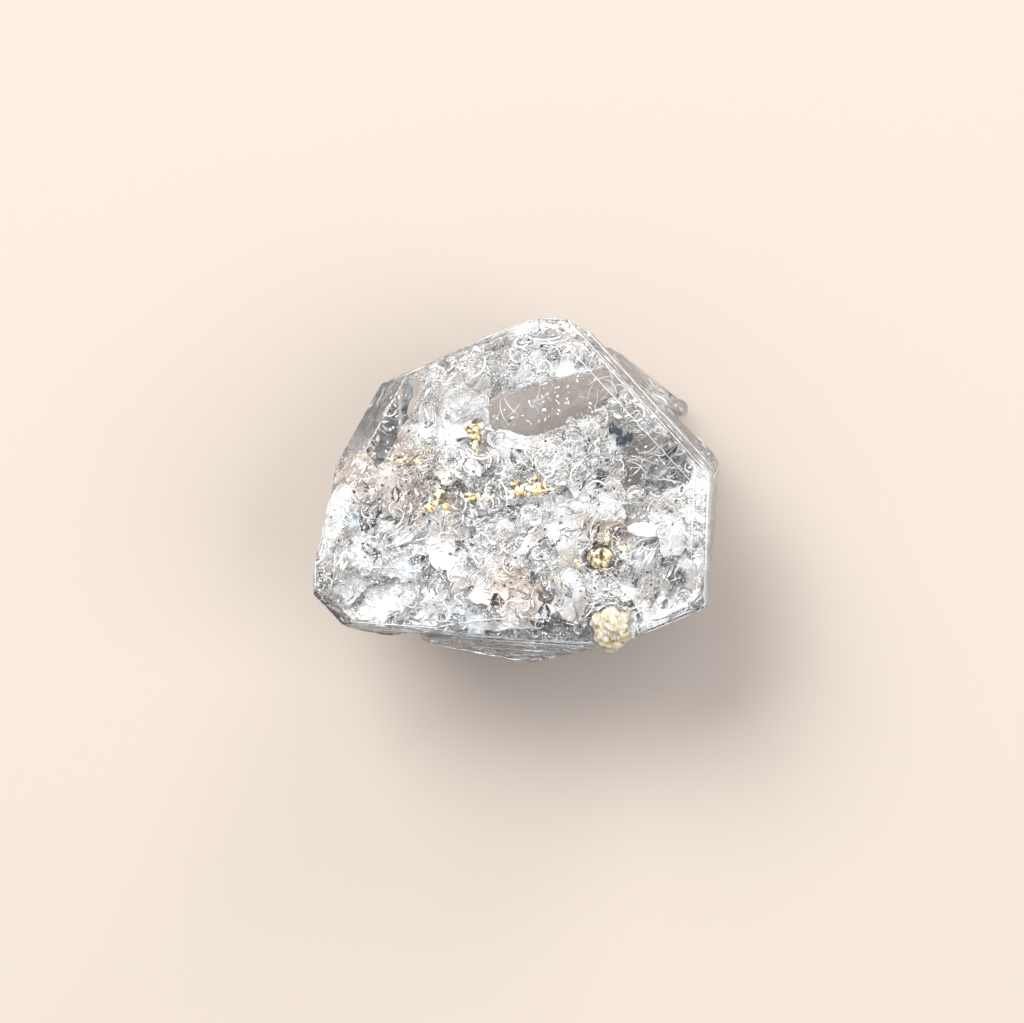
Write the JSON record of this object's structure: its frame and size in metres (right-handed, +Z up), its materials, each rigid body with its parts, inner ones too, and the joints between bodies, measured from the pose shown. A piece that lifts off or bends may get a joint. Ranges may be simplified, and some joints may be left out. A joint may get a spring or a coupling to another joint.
{
  "type": "herkimer diamond quartz crystal",
  "caption": "Clear doubly terminated quartz crystal with flat growth faces, stepped ledges, a lump of cream host rock on one edge and a clay-filled pit; lies flat on one face.",
  "frame": {"origin": "middle of the bounding box's underside, in the plane of the face that the crystal rests on", "axes": "+Z straight up, square to the resting face and to the broad upper face; +X to the right and +Y away as the broad upper face is seen from above with the rock lump towards the viewer"},
  "size_m": [0.0242, 0.0206, 0.0108],
  "materials": {
    "clear_quartz": "polished",
    "dolomite": "matte",
    "iron_stained_clay": "matte"
  },
  "bodies": {
    "root": {"quartz_crystal": "clear_quartz", "dolomite_knob": "dolomite", "clay_grain": "iron_stained_clay"}
  },
  "joints": []
}
